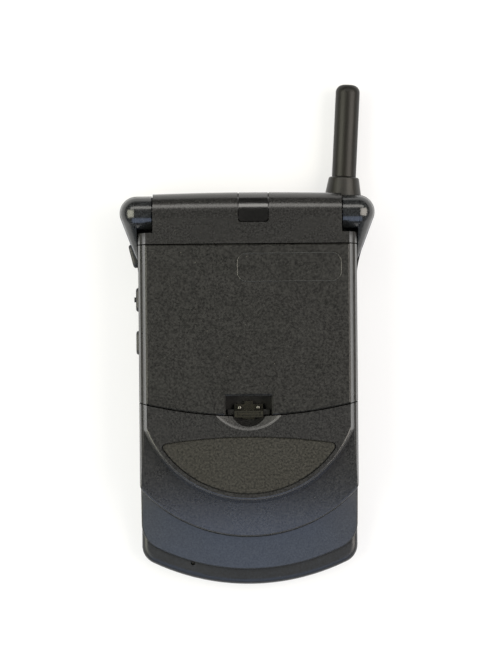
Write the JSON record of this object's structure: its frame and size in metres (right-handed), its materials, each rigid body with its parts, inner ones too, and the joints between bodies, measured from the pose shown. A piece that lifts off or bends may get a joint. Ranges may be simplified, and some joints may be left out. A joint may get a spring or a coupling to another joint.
{
  "type": "flip phone",
  "caption": "Compact clamshell mobile phone with a hinged lid, clip-on battery on the lid, pull-out antenna, side buttons and keypad.",
  "frame": {"origin": "on the resting plane at the flat back, under the middle of the body", "axes": "+Z from the back to the lid, +Y along the body to the hinge and antenna, +X to the right seen from the lid"},
  "size_m": [0.0604, 0.1199, 0.019],
  "materials": {
    "base_plastic": "fine matt moulded ABS/PC, bluish charcoal",
    "lid_plastic": "fine grained charcoal ABS/PC",
    "barrel_plastic": "smooth satin charcoal ABS/PC",
    "battery_plastic": "spark-textured charcoal ABS/PC",
    "plate_plastic": "matt bare nameplate",
    "window_plastic": "smoked clear plastic",
    "display_glass": "clear polished window",
    "display_frame": "liquid-crystal panel, greenish grey",
    "key_plastic": "dark grey semi-gloss key caps",
    "mark_ink": "pale screen-printed ink",
    "button_rubber": "black moulded rubber",
    "latch_plastic": "glossy black acetal",
    "antenna_plastic": "satin dark plastic",
    "collar_plastic": "semi-gloss dark plastic",
    "steel": "plain bright steel",
    "contact_gold": "gold-plated contact",
    "board": "green solder mask",
    "can_steel": "tin-plated sheet",
    "membrane": "polyester dome sheet",
    "part_black": "black moulded component",
    "guide_plastic": "natural acetal tube",
    "flex": "amber polyimide",
    "cell": "drawn aluminium can"
  },
  "bodies": {
    "base": {"rear_housing": "base_plastic", "front_housing": "base_plastic", "hinge_pin": "steel", "hinge_shaft": "steel", "main_board": "board", "shield_cans": "can_steel", "display_module": "display_frame", "display_window": "display_glass", "keypad_membrane": "membrane", "side_switches": "part_black", "microphone": "can_steel", "ringer": "part_black", "vibration_motor": "can_steel", "headset_jack": "part_black", "accessory_connector": "part_black", "connector_contacts": "contact_gold", "housing_screws": "steel", "antenna_collar": "collar_plastic", "whip_guide": "guide_plastic"},
    "antenna": {"antenna_sheath": "antenna_plastic", "antenna_whip": "steel"},
    "lid": {"lid_cover": "base_plastic", "lid_screws": "steel", "lid_shell": "lid_plastic", "nameplate": "plate_plastic", "hinge_barrel": "barrel_plastic", "status_window": "window_plastic", "hinge_cartridge": "steel", "hinge_washers": "steel", "hinge_flex": "flex", "lid_board": "board", "earpiece": "part_black", "battery_contacts": "contact_gold"},
    "battery": {"battery_case": "battery_plastic", "battery_base": "battery_plastic", "battery_pads": "contact_gold", "battery_cells": "cell", "latch_spring": "steel"},
    "latch": {"battery_latch": "latch_plastic", "latch_studs": "steel"},
    "upper_side_button_body": {"upper_side_button": "button_rubber"},
    "middle_side_button_body": {"middle_side_button": "button_rubber"},
    "lower_side_button_body": {"lower_side_button": "button_rubber"},
    "key_send_body": {"key_send": "key_plastic"},
    "key_clear_body": {"key_clear": "key_plastic"},
    "key_menu_body": {"key_menu": "key_plastic"},
    "key_end_body": {"key_end": "key_plastic"},
    "key_1_body": {"key_1": "key_plastic"},
    "key_2_body": {"key_2": "key_plastic"},
    "key_3_body": {"key_3": "key_plastic"},
    "key_4_body": {"key_4": "key_plastic"},
    "key_5_body": {"key_5": "key_plastic"},
    "key_6_body": {"key_6": "key_plastic"},
    "key_7_body": {"key_7": "key_plastic"},
    "key_8_body": {"key_8": "key_plastic"},
    "key_9_body": {"key_9": "key_plastic"},
    "key_star_body": {"key_star": "key_plastic"},
    "key_0_body": {"key_0": "key_plastic"},
    "key_hash_body": {"key_hash": "key_plastic"}
  },
  "joints": [
    {"name": "lid_hinge", "type": "hinge", "parent": "base", "child": "lid", "pos_m": [0, 0.0417, 0.0141], "axis": [-1, 0, 0], "range_deg": [0, 140]},
    {"name": "antenna_slide", "type": "slide", "parent": "base", "child": "antenna", "axis": [0.0541, 0.9985, 0], "range_m": [0, 0.072]},
    {"name": "battery_release", "type": "slide", "parent": "lid", "child": "battery", "axis": [0, 0, 1], "range_m": [0, 0.008]},
    {"name": "latch_slide", "type": "slide", "parent": "battery", "child": "latch", "axis": [0, 1, 0], "range_m": [0, 0.0012], "stiffness_N_per_m": 300, "springref_m": -0.0005},
    {"name": "upper_side_button_press", "type": "slide", "parent": "base", "child": "upper_side_button_body", "axis": [0.9703, 0.2419, 0], "range_m": [0, 0.0004], "stiffness_N_per_m": 1500, "springref_m": -0.0002},
    {"name": "middle_side_button_press", "type": "slide", "parent": "base", "child": "middle_side_button_body", "axis": [1, 0, 0], "range_m": [0, 0.0004], "stiffness_N_per_m": 1500, "springref_m": -0.0002},
    {"name": "lower_side_button_press", "type": "slide", "parent": "base", "child": "lower_side_button_body", "axis": [1, 0, 0], "range_m": [0, 0.0004], "stiffness_N_per_m": 1500, "springref_m": -0.0002},
    {"name": "key_send_press", "type": "slide", "parent": "base", "child": "key_send_body", "axis": [0, 0, -1], "range_m": [0, 0.0004], "stiffness_N_per_m": 1500, "springref_m": -0.0002},
    {"name": "key_clear_press", "type": "slide", "parent": "base", "child": "key_clear_body", "axis": [0, 0, -1], "range_m": [0, 0.0004], "stiffness_N_per_m": 1500, "springref_m": -0.0002},
    {"name": "key_menu_press", "type": "slide", "parent": "base", "child": "key_menu_body", "axis": [0, 0, -1], "range_m": [0, 0.0004], "stiffness_N_per_m": 1500, "springref_m": -0.0002},
    {"name": "key_end_press", "type": "slide", "parent": "base", "child": "key_end_body", "axis": [0, 0, -1], "range_m": [0, 0.0004], "stiffness_N_per_m": 1500, "springref_m": -0.0002},
    {"name": "key_1_press", "type": "slide", "parent": "base", "child": "key_1_body", "axis": [0, 0, -1], "range_m": [0, 0.0004], "stiffness_N_per_m": 1500, "springref_m": -0.0002},
    {"name": "key_2_press", "type": "slide", "parent": "base", "child": "key_2_body", "axis": [0, 0, -1], "range_m": [0, 0.0004], "stiffness_N_per_m": 1500, "springref_m": -0.0002},
    {"name": "key_3_press", "type": "slide", "parent": "base", "child": "key_3_body", "axis": [0, 0, -1], "range_m": [0, 0.0004], "stiffness_N_per_m": 1500, "springref_m": -0.0002},
    {"name": "key_4_press", "type": "slide", "parent": "base", "child": "key_4_body", "axis": [0, 0, -1], "range_m": [0, 0.0004], "stiffness_N_per_m": 1500, "springref_m": -0.0002},
    {"name": "key_5_press", "type": "slide", "parent": "base", "child": "key_5_body", "axis": [0, 0, -1], "range_m": [0, 0.0004], "stiffness_N_per_m": 1500, "springref_m": -0.0002},
    {"name": "key_6_press", "type": "slide", "parent": "base", "child": "key_6_body", "axis": [0, 0, -1], "range_m": [0, 0.0004], "stiffness_N_per_m": 1500, "springref_m": -0.0002},
    {"name": "key_7_press", "type": "slide", "parent": "base", "child": "key_7_body", "axis": [0, 0, -1], "range_m": [0, 0.0004], "stiffness_N_per_m": 1500, "springref_m": -0.0002},
    {"name": "key_8_press", "type": "slide", "parent": "base", "child": "key_8_body", "axis": [0, 0, -1], "range_m": [0, 0.0004], "stiffness_N_per_m": 1500, "springref_m": -0.0002},
    {"name": "key_9_press", "type": "slide", "parent": "base", "child": "key_9_body", "axis": [0, 0, -1], "range_m": [0, 0.0004], "stiffness_N_per_m": 1500, "springref_m": -0.0002},
    {"name": "key_star_press", "type": "slide", "parent": "base", "child": "key_star_body", "axis": [0, 0, -1], "range_m": [0, 0.0004], "stiffness_N_per_m": 1500, "springref_m": -0.0002},
    {"name": "key_0_press", "type": "slide", "parent": "base", "child": "key_0_body", "axis": [0, 0, -1], "range_m": [0, 0.0004], "stiffness_N_per_m": 1500, "springref_m": -0.0002},
    {"name": "key_hash_press", "type": "slide", "parent": "base", "child": "key_hash_body", "axis": [0, 0, -1], "range_m": [0, 0.0004], "stiffness_N_per_m": 1500, "springref_m": -0.0002}
  ]
}
